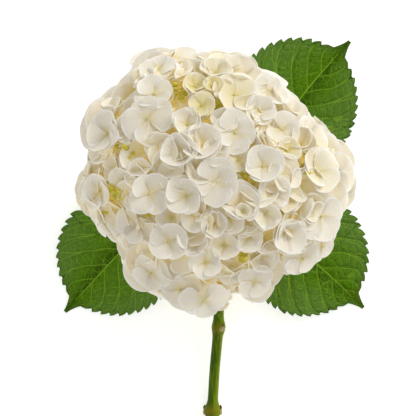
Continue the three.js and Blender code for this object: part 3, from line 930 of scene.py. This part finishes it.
def held_in(point):
    """The point, drawn in where it would stand out of the head's outline, and how deep it lies."""
    out = point - HEAD_CENTRE
    share = out.length / head_reach(out.normalized())
    if share > OUTLINE_START:
        give = lerp(*OUTLINE_GIVE, soft_step(out.normalized().z, 0.1, 0.6))
        point = HEAD_CENTRE + out * (lerp(OUTLINE_START, share, give) / share)
    return point, 1 - soft_step(share, DEEP_SHARE, 1.0)


def petal_sheet(steps):
    """A flat petal to be shaped: a square grid with its own UV map and a sharp rim."""
    grid = bmesh.new()
    grid.loops.layers.uv.new("petal")
    for layer in ("deep", "young"):
        grid.verts.layers.float.new(layer)
    bmesh.ops.create_grid(grid, x_segments=steps, y_segments=steps, size=1, calc_uvs=True)
    for e in grid.edges:
        e.smooth = not e.is_boundary
    sheet = bpy.data.meshes.new("petal_sheet")
    grid.to_mesh(sheet)
    grid.free()
    return sheet


FINE_SHEET = petal_sheet(6)
PLAIN_SHEET = petal_sheet(5)


class Floret:
    """Where a floret stands, which way it faces, and how its petals are held."""

    def __init__(self, centre, normal, radius, cup, young, loose=1.0):
        self.centre = centre
        self.radius = radius
        self.cup = cup  # how far its petals are lifted, in radians
        self.young = young  # 0 for white and 1 for golden petals
        self.loose = loose  # how unevenly its petals are held
        spin = Matrix.Rotation(draw.uniform(0, math.pi), 4, "Z")
        turn = normal.to_track_quat("Z", "Y").to_matrix().to_4x4()
        self.matrix = Matrix.Translation(centre) @ turn @ spin

    def petal_shape(self):
        """How one petal bends: a function from its flat square to its place, before it is lifted."""
        size = self.radius * draw.uniform(*PETAL_LENGTH)
        wide = size * (draw.uniform(*PETAL_HALF_WIDTH) + 0.1 * math.sin(self.cup))
        wide *= 1 - 0.32 * soft_step(self.cup, 0.75, 1.2)
        spoon = draw.uniform(*PETAL_SPOON) + 0.36 * math.tan(min(self.cup, 1.0))
        curl = draw.uniform(*PETAL_CURL) + 0.2 * self.cup
        lip = draw.uniform(*PETAL_LIP)
        crease = draw.choice(PETAL_CREASES)
        ruffle = draw.uniform(*PETAL_RUFFLE)
        waves = draw.choice(PETAL_WAVES)
        phase = draw.uniform(0, 2 * math.pi)
        notch = draw.uniform(*PETAL_NOTCH)

        def shaped(square_x, square_y):
            along = square_x * math.sqrt(1 - square_y**2 / 2)
            across = square_y * math.sqrt(1 - square_x**2 / 2)
            run = (along + 1) / 2
            edge = min(1.0, math.hypot(along, across))
            length = run * (1 - notch * math.exp(-((across / 0.35) ** 2)) * soft_step(run, 0.6, 1))
            height = spoon * across**2 + curl * run**2 - crease * math.exp(-((across / 0.3) ** 2)) * run
            height -= lip * soft_step(run, 0.7, 1.1)
            height += ruffle * math.sin(waves * math.atan2(across, along) + phase) * edge**3 * run
            width = across * wide * lerp(0.6, 1, soft_step(run, 0, 0.45))
            return Vector((length * size, width, height * size))

        return shaped

    def add_petals(self, body, sheet):
        """Adds four petals, shaped from a flat sheet. Each one is lifted and rolled a little."""
        hand = draw.choice([-1, 1])  # each petal lies over the next one on this side
        for k in range(4):
            shaped = self.petal_shape()
            lift = self.cup + draw.gauss(0, 0.16) * self.loose
            roll = hand * draw.uniform(0.12, 0.24) * (1 - 0.6 * math.sin(self.cup))
            roll += draw.gauss(0, 0.1) * self.loose
            if draw.random() < 0.06 * self.loose:
                lift -= draw.uniform(0.3, 0.7)
            matrix = (
                self.matrix
                @ Matrix.Rotation(k * math.pi / 2 + draw.uniform(-0.15, 0.15), 4, "Z")
                @ Matrix.Translation((PETAL_BASE, 0, 0))
                @ Matrix.Rotation(-lift, 4, "Y")
                @ Matrix.Rotation(roll, 4, "X")
            )
            petal = bmesh.new()
            petal.from_mesh(sheet)
            deep = petal.verts.layers.float["deep"]
            young = petal.verts.layers.float["young"]
            for v in petal.verts:
                place, v[deep] = held_in(matrix @ shaped(v.co.x, v.co.y))
                v.co = pressed(place)
                v[young] = self.young
            add_part(body, petal)

    def add_eye(self, body):
        """Adds the small closed flower in the floret's middle."""
        size = draw.uniform(0.8, 1.15) * MM
        eye = bmesh.new()
        bmesh.ops.create_icosphere(eye, subdivisions=1, radius=size)
        matrix = self.matrix @ Matrix.Translation((0, 0, size * 0.9))
        bmesh.ops.transform(eye, matrix=matrix, verts=eye.verts)
        for v in eye.verts:
            v.co = pressed(v.co)
        add_part(body, eye)


# Florets that stand out in the photograph: the pixel of each centre, the radius in pixels, how far
# its petals are lifted into a cup (radians), how much it faces the camera, how far it leans to the
# right and to the crown, how young it is, and how many mm it is sunk into the head.
SHOWN_FLORETS = [
    (148, 118, 25, 0.12, 0.8, 0, 0, 0, 0),
    (181, 151, 24, 0.75, 0.6, -0.35, 0.05, 0, 0),
    (202, 143, 25, 0.75, 0.6, -0.05, 0.25, 0, 0),
    (217, 182, 24, 0.3, 0.8, -0.15, 0, 0, 0),
    (185, 197, 21, 0.5, 0.7, -0.2, 0.1, 0, 1),
    (147, 194, 23, 0.35, 0.6, 0.1, -0.05, 0, 1),
    (136, 226, 22, 0.3, 0.6, -0.15, 0, 0, 1),
    (168, 243, 22, 0.35, 0.7, -0.15, 0.1, 0, 0),
    (193, 247, 21, 0.6, 0.5, 0, 0.35, 0, 2),
    (267, 215, 18, 0.65, 0.7, 0.1, -0.1, 0.15, -1),
    (276, 190, 23, 0.7, 0.7, 0.25, -0.2, 0, 2),
    (242, 209, 25, 0.7, 0.65, 0.05, 0.3, 0, 0),
    (243, 211, 11, 0.85, 0.7, 0, 0.1, 0.2, -3),
    (265, 166, 24, 0.62, 0.75, 0, 0.12, 0, -2),
    (286, 173, 22, 0.5, 0.5, 0.35, 0.1, 0.1, 4),
    (292, 149, 16, 0.7, 0.5, 0.1, 0.1, 0.6, 2),
    (323, 217, 25, 0.3, 0.5, -0.1, 0.1, 0, 0),
    (291, 236, 23, 0.75, 0.6, 0.2, -0.15, 0, 0),
    (322, 172, 25, 0.4, 0.45, 0.1, 0.25, 0.25, 1),
    (285, 128, 19, 0.4, 0.6, 0, 0, 0, 1),
    (236, 131, 22, 0.3, 0.6, 0, 0, 0, 1),
    (241, 158, 14, 0.4, 0.6, 0, 0, 0, 5),
    (215, 153, 15, 0.4, 0.4, -0.2, 0.3, 0, 2),
    (195, 84, 16, 0.7, 0.6, 0, 0.2, 0.7, -1),
    (216, 68, 18, 0.65, 0.5, 0, 0.1, 0.3, 0),
    (235, 91, 24, 0.3, 0.5, 0.2, 0.15, 0.4, 2),
    (213, 85, 12, 0.7, 0.6, 0, 0.1, 0.8, -1),
    (202, 105, 15, 0.45, 0.6, -0.1, 0.1, 0.7, -1),
    (268, 88, 21, 0.4, 0.6, 0.15, 0, 0, 0),
    (262, 107, 19, 0.6, 0.6, 0.1, 0, 0, 1),
    (296, 110, 20, 0.4, 0.6, 0, 0, 0, 1),
    (224, 117, 16, 0.6, 0.6, 0, 0, 0, 2),
    (185, 120, 19, 0.75, 0.6, 0, 0.2, 0.1, 2),
    (103, 132, 24, 0.5, 0.4, -0.2, 0, 0, 0),
    (90, 192, 22, 0.4, 0.3, 0, 0, 0, 5),
    (155, 62, 20, 0.35, 0.4, 0, 0, 0, 4),
    (152, 91, 21, 0.3, 0.55, 0.1, 0.15, 0, 2),
    (121, 127, 16, 0.5, 0.5, 0, 0, 0, 3),
    (110, 168, 15, 0.55, 0.5, 0, 0.1, 0, 3),
    (205, 268, 17, 0.5, 0.5, 0, 0.1, 0, 3),
    (168, 220, 16, 0.5, 0.5, 0, 0.1, 0, 4),
    (204, 300, 23, 0.05, 0.6, 0, 0, 0, 0),
    (180, 290, 22, 0.15, 0.55, 0, 0, 0, 0),
    (150, 275, 22, 0.25, 0.5, 0, 0, 0, 0),
    (255, 283, 20, 0.2, 0.6, 0, 0, 0, 0),
    (232, 274, 17, 0.4, 0.5, 0, 0, 0.1, 2),
    (264, 261, 20, 0.7, 0.6, 0, 0, 0, 1),
    (303, 259, 20, 0.2, 0.6, 0, 0, 0, 0),
    (324, 247, 18, 0.2, 0.5, 0, 0, 0, 1),
    (215, 228, 19, 0.75, 0.5, -0.1, 0.1, 0, 3),
    (251, 240, 17, 0.6, 0.6, -0.1, -0.1, 0, 1),
    (225, 250, 18, 0.6, 0.5, 0, 0.1, 0, 2),
    (231, 222, 16, 0.6, 0.6, 0, 0, 0, 4),
]
# Places where young buds show between the florets, in pixels.
SHOWN_BUDS = [
    (119, 148),
    (250, 177),
    (140, 212),
    (205, 93),
    (216, 97),
    (178, 84),
    (108, 196),
    (246, 258),
    (310, 168),
]


def direction_seen_at(pixel_x, pixel_y):
    """The direction from the head's centre to its surface where the camera sees that pixel."""
    low, high = 0.0, HEAD_REACH.z * 1.1
    for _ in range(30):
        middle = (low + high) / 2
        place = seen_at(pixel_x, pixel_y, HEAD_CENTRE.z + middle) - HEAD_CENTRE
        if place.length > head_reach(place.normalized()):
            high = middle
        else:
            low = middle
    return (seen_at(pixel_x, pixel_y, HEAD_CENTRE.z + low) - HEAD_CENTRE).normalized()


def shaken(direction, amount):
    """A direction near another one."""
    return (direction + Vector([draw.gauss(0, amount) for _ in range(3)])).normalized()


def apart(direction, others):
    """The angle in degrees between a direction and the nearest of the others."""
    return math.degrees(min(direction.angle(other) for other in others))


def directions_of(florets):
    """The directions from the head's centre to some florets."""
    return [(floret.centre - HEAD_CENTRE).normalized() for floret in florets]


SHOWN_DIRECTIONS = [direction_seen_at(*shown[:2]) for shown in SHOWN_FLORETS]
BUD_DIRECTIONS = [direction_seen_at(*pixel) for pixel in SHOWN_BUDS]

# Radii are in mm, and cups in radians.
SHOWN_HEIGHT = 1.5  # mm that a shown floret stands out, less what it is sunk
OUTER_PLACES = 230
OUTER_RADIUS = (15, 18.5)
OUTER_CUPS = (0.05, 0.15, 0.3, 0.4, 0.5, 0.65, 0.8)
GAP_PLACES = 500  # the places tried for the small florets in the gaps
GAP_RADIUS = (11, 14)
GAP_CUP = (0.3, 0.75)
NAPE_PLACES = 420  # the places over the whole head, of which those over the stem are taken
NAPE_LOWEST = -0.38  # the lowest height of a direction in which they stand
NAPE_SHARE = (0.79, 0.9)  # of the head's reach
NAPE_RADIUS = (13, 16)
NAPE_CUP = (0.1, 0.6)
# The least angles in degrees: outer florets from the shown ones, small ones in the gaps from all
# others, and both, like the hidden ones, from the young buds that show.
APART_FROM_SHOWN = 12
APART_IN_GAPS = 10
APART_FROM_BUDS = 6
# A hidden floret starts to lie deeper where it is within the first of these angles of one over it,
# and at the second it is deeper by the whole of this share of the head's reach.
UNDER_ANGLES = (9, 4)
UNDER_DEPTH = 0.05


def beside_buds(direction):
    """True where a floret would hide the young buds that show."""
    return apart(direction, BUD_DIRECTIONS) < APART_FROM_BUDS


def shown_florets():
    """The florets that stand out in the photograph."""
    made = []
    for direction, shown in zip(SHOWN_DIRECTIONS, SHOWN_FLORETS):
        _, _, pixels, cup, facing, right, up, young, sunk = shown
        radius = pixels * PHOTO_PIXEL
        normal = (direction * (1 - facing) + UP * facing + Vector((right, up, 0))).normalized()
        height = (SHOWN_HEIGHT - sunk) * MM - radius * math.sin(cup) * 0.7
        centre = in_head(direction, 1) + direction * height
        made.append(Floret(centre, normal, radius, cup, young, loose=0.3))
    return made


def outer_florets():
    """The florets that cover the rest of the head."""
    made = []
    for direction in spiral(OUTER_PLACES, math.pi - OPENING):
        direction = shaken(direction, 0.05)
        from_shown = apart(direction, SHOWN_DIRECTIONS)
        if from_shown < APART_FROM_SHOWN or beside_buds(direction):
            continue
        radius = draw.uniform(*OUTER_RADIUS) * MM
        cup = draw.choice(OUTER_CUPS) + draw.uniform(-0.1, 0.1)
        # Those at the head's outline are flatter and face up, so that their petals show their round ends.
        at_outline = math.exp(-(((direction.z - 0.15) / 0.35) ** 2))
        cup *= 1 - 0.65 * at_outline
        radius *= 1 + 0.12 * at_outline
        depth = draw.uniform(1, 7) * MM + radius * math.sin(cup) * 0.6
        depth += 8 * MM * soft_step(from_shown, 15, 8) + 6 * MM * at_outline
        centre = in_head(direction, 1) - direction * depth
        facing = 0.3 * soft_step(direction.z, -0.4, 0.3) + 0.35 * at_outline
        normal = shaken(direction * (1 - facing) + UP * facing, 0.22)
        made.append(Floret(centre, normal, radius, cup, draw.uniform(0, 0.15)))
    return made


def gap_florets(others):
    """Small florets in the gaps that the others leave."""
    made = []
    taken = directions_of(others)
    for direction in spiral(GAP_PLACES, math.pi - OPENING):
        if apart(direction, taken) < APART_IN_GAPS or beside_buds(direction):
            continue
        taken.append(direction)
        cup = draw.uniform(*GAP_CUP)
        radius = draw.uniform(*GAP_RADIUS) * MM
        depth = draw.uniform(3, 6) * MM + radius * math.sin(cup) * 0.6
        centre = in_head(direction, 1) - direction * depth
        made.append(Floret(centre, shaken(direction, 0.25), radius, cup, draw.uniform(0.1, 0.4)))
    return made


def hidden_florets(count, share, radius, cup, jitter, young, over):
    """Florets behind the ones over them. Each range gives the least and the most."""
    made = []
    cover = directions_of(over)
    for direction in spiral(count, math.pi - OPENING * 1.03):
        direction = shaken(direction, 0.06)
        if beside_buds(direction):
            continue
        # Right under another floret they lie deeper and flatter, so that they don't reach into it.
        under = soft_step(apart(direction, cover), *UNDER_ANGLES)
        centre = in_head(direction, draw.uniform(*share) - UNDER_DEPTH * under)
        normal = shaken(direction, jitter)
        lift = draw.uniform(*cup) * (1 - 0.4 * under)
        made.append(Floret(centre, normal, draw.uniform(*radius) * MM, lift, draw.uniform(*young)))
    return made


def nape_florets():
    """Florets that hang over the stem where it enters, above the leaf stalks."""
    made = []
    for direction in spiral(NAPE_PLACES, math.pi - NAPE_OPENING):
        if HEAD_AXIS.angle(direction) < math.pi - OPENING or direction.z < NAPE_LOWEST:
            continue
        direction = shaken(direction, 0.03)
        centre = in_head(direction, draw.uniform(*NAPE_SHARE))
        radius = draw.uniform(*NAPE_RADIUS) * MM
        normal = shaken(direction, 0.25)
        cup = draw.uniform(*NAPE_CUP)
        made.append(Floret(centre, normal, radius, cup, draw.uniform(0.1, 0.4)))
    return made


def make_petals(name, florets, sheet):
    """All petals of some florets, as one piece."""
    body = bmesh.new()
    for floret in florets:
        floret.add_petals(body, sheet)
    made = piece(name, body, [PETAL], replaces=["flower_head"])
    thicken(made, PETAL_THICKNESS)


def add_eyes(body, florets):
    for floret in florets:
        floret.add_eye(body)


outer = shown_florets()
outer += outer_florets()
outer += gap_florets(outer)
middle = hidden_florets(
    190, share=(0.87, 0.92), radius=(12, 16), cup=(0.1, 0.9), jitter=0.35, young=(0, 0.3), over=outer
)
inner = hidden_florets(
    160, share=(0.82, 0.87), radius=(13, 16), cup=(0.0, 0.6), jitter=0.2, young=(0.2, 0.6), over=middle
)
all_florets = outer + middle + inner
in_crown = len(outer) // 2
make_petals("florets_crown", outer[:in_crown], FINE_SHEET)
make_petals("florets_skirt", outer[in_crown:], FINE_SHEET)
make_petals("florets_between", middle, PLAIN_SHEET)
make_petals("florets_inside", inner, PLAIN_SHEET)

eyes = bmesh.new()
add_eyes(eyes, all_florets)

# Two clusters of young buds wherever some show, and others deeper all over the head.
DEEP_BUDS = 60
BUD_PLACES = [in_head(d, 0.93) for d in BUD_DIRECTIONS for _ in range(2)]
for direction in spiral(DEEP_BUDS, math.pi - OPENING):
    BUD_PLACES.append(in_head(shaken(direction, 0.08), draw.uniform(0.8, 0.9)))


def make_young_buds():
    """Clusters of round unopened buds, deep between the florets."""
    body = bmesh.new()
    for place in BUD_PLACES:
        for _ in range(draw.randint(3, 6)):
            bud = bmesh.new()
            bmesh.ops.create_icosphere(bud, subdivisions=2, radius=draw.uniform(1.1, 2) * MM)
            aside = Vector([draw.gauss(0, 2.2) for _ in range(3)]) * MM
            bmesh.ops.translate(bud, vec=place + aside, verts=bud.verts)
            add_part(body, bud)
    piece("young_buds", body, [YOUNG_BUD])


make_young_buds()

nape = nape_florets()
make_petals("florets_nape", nape, FINE_SHEET)
add_eyes(eyes, nape)
piece("floret_eyes", eyes, [EYE])
all_florets += nape

# ---------------------------------------------------------------- branches inside the head

FORK = HEAD_CENTRE - HEAD_AXIS * 44 * MM
BRANCHES = 11
BRANCH_REACH = 0.34  # share of the head's reach where the branches end
TWIGS = 44
TWIG_REACH = 0.6
# Radii in mm, at the start and at the end.
BRANCH_RADII = (1.7, 1.1)
TWIG_RADII = (1.1, 0.75)
STALK_RADII = (0.6, 0.5)


def bowed(first, last, bow, count):
    """Places from one point to another along an arc that bows towards the head's axis."""
    middle = (first + last) / 2 + HEAD_AXIS * bow
    return smooth_path([first, middle, last], count)


def make_branches():
    """The stem's top forks into branches, the branches into twigs, and each twig into stalks."""
    body = bmesh.new()
    limbs = [in_head(d, BRANCH_REACH) for d in spiral(BRANCHES, math.radians(125))]
    twigs = [in_head(d, TWIG_REACH) for d in spiral(TWIGS, math.radians(130))]
    for limb in limbs:
        tube(body, bowed(FORK, limb, 3 * MM, 8), lambda s, a: lerp(*BRANCH_RADII, s) * MM, 8)
    for twig in twigs:
        limb = min(limbs, key=lambda place: (place - twig).length)
        tube(body, bowed(limb, twig, 1.5 * MM, 6), lambda s, a: lerp(*TWIG_RADII, s) * MM, 6)
    ends = [floret.matrix @ Vector((0, 0, 0.2 * MM)) for floret in all_florets]
    belows = [floret.matrix @ Vector((0, 0, -4 * MM)) for floret in all_florets]
    for end, below in zip(ends, belows):
        twig = min(twigs, key=lambda place: (place - end).length)
        stalk = bmesh.new()
        path = smooth_path([twig, below, end], 5, steps=8)
        tube(stalk, path, lambda s, a: lerp(*STALK_RADII, s) * MM, 5)
        add_part(body, stalk)
    bmesh.ops.recalc_face_normals(body, faces=body.faces)
    piece("head_branches", body, [STALK])


make_branches()

# ---------------------------------------------------------------- surface, light and camera

FLOOR_REACH = 6
FLOOR_DROP = 0.2 * MM  # the floor lies this far down, below the under sides of the blades


def make_floor():
    """The pale surface that the flower lies on."""
    body = bmesh.new()
    bmesh.ops.create_grid(body, x_segments=1, y_segments=1, size=FLOOR_REACH)
    mesh = bpy.data.meshes.new("floor")
    body.to_mesh(mesh)
    body.free()
    floor = bpy.data.objects.new("floor", mesh)
    floor.location.z = -FLOOR_DROP
    bpy.context.scene.collection.objects.link(floor)
    finish = Finish("pale_surface", Specular_IOR_Level=0.1, Emission_Strength=0.56)
    finish.set(finish.shader, {"Emission Color": (1, 1, 1, 1)})
    mesh.materials.append(finish.coat((250, 250, 250), 0.9))


def make_light(name, place, size, power):
    """A square lamp that faces the head."""
    light = bpy.data.lights.new(name, "AREA")
    light.size = size
    light.energy = power
    lamp = bpy.data.objects.new(name, light)
    lamp.location = place
    lamp.rotation_mode = "QUATERNION"
    lamp.rotation_quaternion = (Vector(place) - HEAD_CENTRE).to_track_quat("Z", "Y")
    bpy.context.scene.collection.objects.link(lamp)


def make_world(strength):
    """An even white light from all sides."""
    world = bpy.data.worlds.new("studio")
    world.use_nodes = True
    world.node_tree.nodes["Background"].inputs["Strength"].default_value = strength
    world.node_tree.nodes["Background"].inputs["Color"].default_value = (1, 1, 1, 1)
    bpy.context.scene.world = world


make_floor()
make_light("key", (1.15, 1.2, 1.3), size=1.0, power=19.8)
make_light("fill", (-0.6, -1.2, 1.2), size=1.2, power=3.1)
make_world(strength=0.44)
make_camera()
bpy.context.scene.view_settings.view_transform = "Standard"
